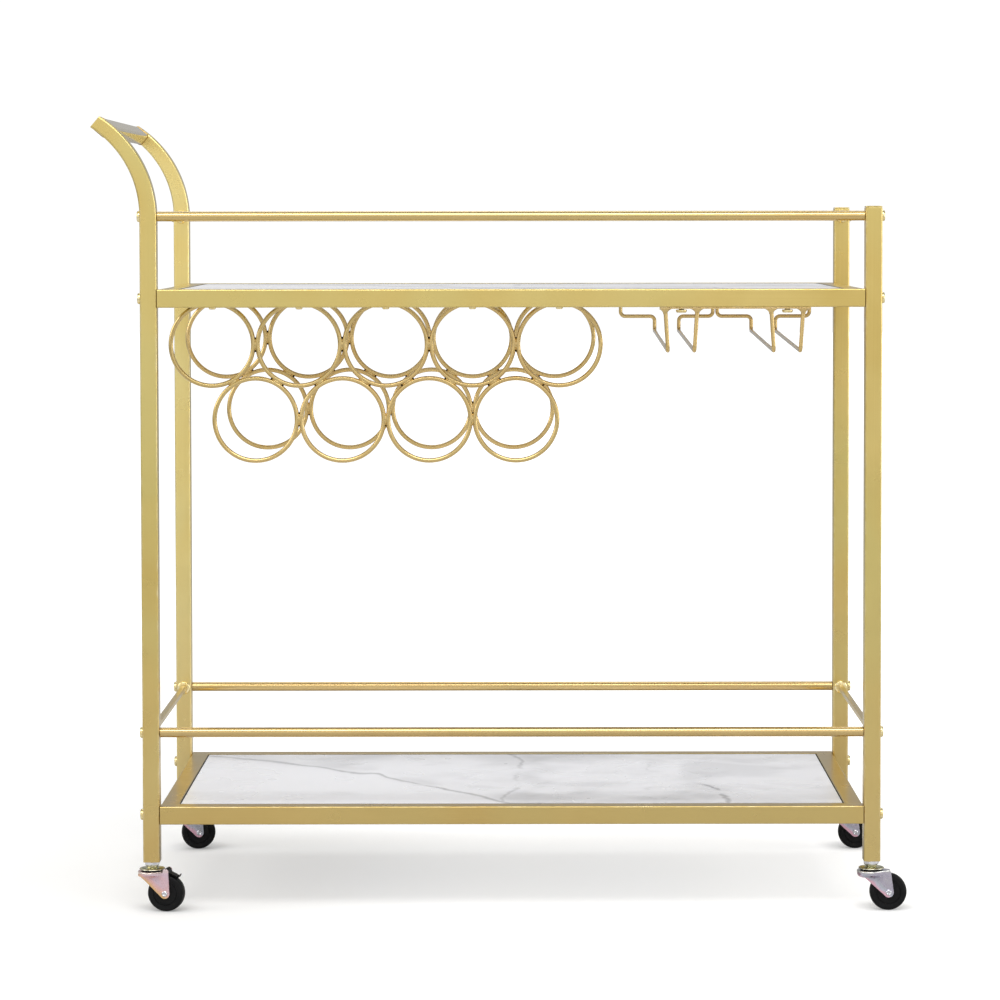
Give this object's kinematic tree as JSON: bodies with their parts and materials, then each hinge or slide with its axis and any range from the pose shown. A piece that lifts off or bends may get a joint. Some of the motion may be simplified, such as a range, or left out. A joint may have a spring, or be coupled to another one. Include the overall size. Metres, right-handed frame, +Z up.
{
  "type": "bar cart",
  "caption": "Two-tier bar cart on swivel casters with a bent push handle, guard rails, ring racks for bottles and a wire hanger for stemware.",
  "frame": {"origin": "under the middle of the bounding box, on the floor", "axes": "+X along the length away from the handle, +Y across the depth towards the side the glasses enter from, +Z up"},
  "size_m": [0.8964, 0.413, 0.8766],
  "materials": {
    "gold_paint": "satin gold metallic coat, smooth",
    "brass_bolts": "bright brass-plated steel",
    "marble_top": "white marble-look laminate with soft grey veins on board, semi-gloss",
    "zinc_plate": "yellow-passivated zinc plate with pink and green iridescence",
    "black_rubber": "satin black solid tyre and hub",
    "black_lever": "matt black"
  },
  "bodies": {
    "frame": {"front_left_post": "gold_paint", "front_right_post": "gold_paint", "front_right_post_cap": "gold_paint", "rear_left_post": "gold_paint", "rear_right_post": "gold_paint", "rear_right_post_cap": "gold_paint", "handle_bar": "gold_paint", "upper_shelf_frame": "gold_paint", "lower_shelf_frame": "gold_paint", "upper_front_rail": "gold_paint", "upper_rear_rail": "gold_paint", "upper_left_side_rail": "gold_paint", "upper_right_side_rail": "gold_paint", "lower_front_rail": "gold_paint", "lower_rear_rail": "gold_paint", "lower_left_side_rail": "gold_paint", "lower_right_side_rail": "gold_paint", "front_bottle_rack": "gold_paint", "rear_bottle_rack": "gold_paint", "stemware_hanger": "gold_paint", "upper_shelf_panel": "marble_top", "lower_shelf_panel": "marble_top", "front_left_upper_rail_bolt": "brass_bolts", "front_left_upper_shelf_bolt": "brass_bolts", "front_left_lower_rail_bolt": "brass_bolts", "front_left_lower_shelf_bolt": "brass_bolts", "front_right_upper_rail_bolt": "brass_bolts", "front_right_upper_shelf_bolt": "brass_bolts", "front_right_lower_rail_bolt": "brass_bolts", "front_right_lower_shelf_bolt": "brass_bolts", "rear_left_upper_rail_bolt": "brass_bolts", "rear_left_upper_shelf_bolt": "brass_bolts", "rear_left_lower_rail_bolt": "brass_bolts", "rear_left_lower_shelf_bolt": "brass_bolts", "rear_right_upper_rail_bolt": "brass_bolts", "rear_right_upper_shelf_bolt": "brass_bolts", "rear_right_lower_rail_bolt": "brass_bolts", "rear_right_lower_shelf_bolt": "brass_bolts", "front_hanger_bolt_1": "brass_bolts", "front_hanger_bolt_2": "brass_bolts", "rear_hanger_bolt_1": "brass_bolts", "rear_hanger_bolt_2": "brass_bolts", "front_left_caster_stem": "zinc_plate", "rear_left_caster_stem": "zinc_plate", "front_right_caster_stem": "zinc_plate", "rear_right_caster_stem": "zinc_plate"},
    "front_left_swivel": {"front_left_caster_fork": "zinc_plate", "front_left_axle_rivet": "zinc_plate"},
    "front_left_roller": {"front_left_wheel": "black_rubber"},
    "front_left_brake": {"front_left_brake_lever": "black_lever"},
    "rear_left_swivel": {"rear_left_caster_fork": "zinc_plate", "rear_left_axle_rivet": "zinc_plate"},
    "rear_left_roller": {"rear_left_wheel": "black_rubber"},
    "rear_left_brake": {"rear_left_brake_lever": "black_lever"},
    "front_right_swivel": {"front_right_caster_fork": "zinc_plate", "front_right_axle_rivet": "zinc_plate"},
    "front_right_roller": {"front_right_wheel": "black_rubber"},
    "rear_right_swivel": {"rear_right_caster_fork": "zinc_plate", "rear_right_axle_rivet": "zinc_plate"},
    "rear_right_roller": {"rear_right_wheel": "black_rubber"}
  },
  "joints": [
    {"name": "front_left_swivel_turn", "type": "hinge", "parent": "frame", "child": "front_left_swivel", "pos_m": [-0.38587, -0.19, 0.044], "axis": [0, 0, 1], "continuous": true},
    {"name": "front_left_wheel_spin", "type": "hinge", "parent": "front_left_swivel", "child": "front_left_roller", "pos_m": [-0.37006, -0.1925, 0.0205], "axis": [0.1564, 0.9877, 0], "continuous": true},
    {"name": "front_left_brake_press", "type": "hinge", "parent": "front_left_swivel", "child": "front_left_brake", "pos_m": [-0.36907, -0.19266, 0.0444], "axis": [0.1564, 0.9877, 0], "range_deg": [0, 5]},
    {"name": "rear_left_swivel_turn", "type": "hinge", "parent": "frame", "child": "rear_left_swivel", "pos_m": [-0.38587, 0.19, 0.044], "axis": [0, 0, 1], "continuous": true},
    {"name": "rear_left_wheel_spin", "type": "hinge", "parent": "rear_left_swivel", "child": "rear_left_roller", "pos_m": [-0.37006, 0.1925, 0.0205], "axis": [-0.1564, 0.9877, 0], "continuous": true},
    {"name": "rear_left_brake_press", "type": "hinge", "parent": "rear_left_swivel", "child": "rear_left_brake", "pos_m": [-0.36907, 0.19266, 0.0444], "axis": [-0.1564, 0.9877, 0], "range_deg": [0, 5]},
    {"name": "front_right_swivel_turn", "type": "hinge", "parent": "frame", "child": "front_right_swivel", "pos_m": [0.40923, -0.19, 0.044], "axis": [0, 0, 1], "continuous": true},
    {"name": "front_right_wheel_spin", "type": "hinge", "parent": "front_right_swivel", "child": "front_right_roller", "pos_m": [0.42773, -0.19, 0.0205], "axis": [0, 1, 0], "continuous": true},
    {"name": "rear_right_swivel_turn", "type": "hinge", "parent": "frame", "child": "rear_right_swivel", "pos_m": [0.40923, 0.19, 0.044], "axis": [0, 0, 1], "continuous": true},
    {"name": "rear_right_wheel_spin", "type": "hinge", "parent": "rear_right_swivel", "child": "rear_right_roller", "pos_m": [0.42773, 0.19, 0.0205], "axis": [0, 1, 0], "continuous": true}
  ]
}
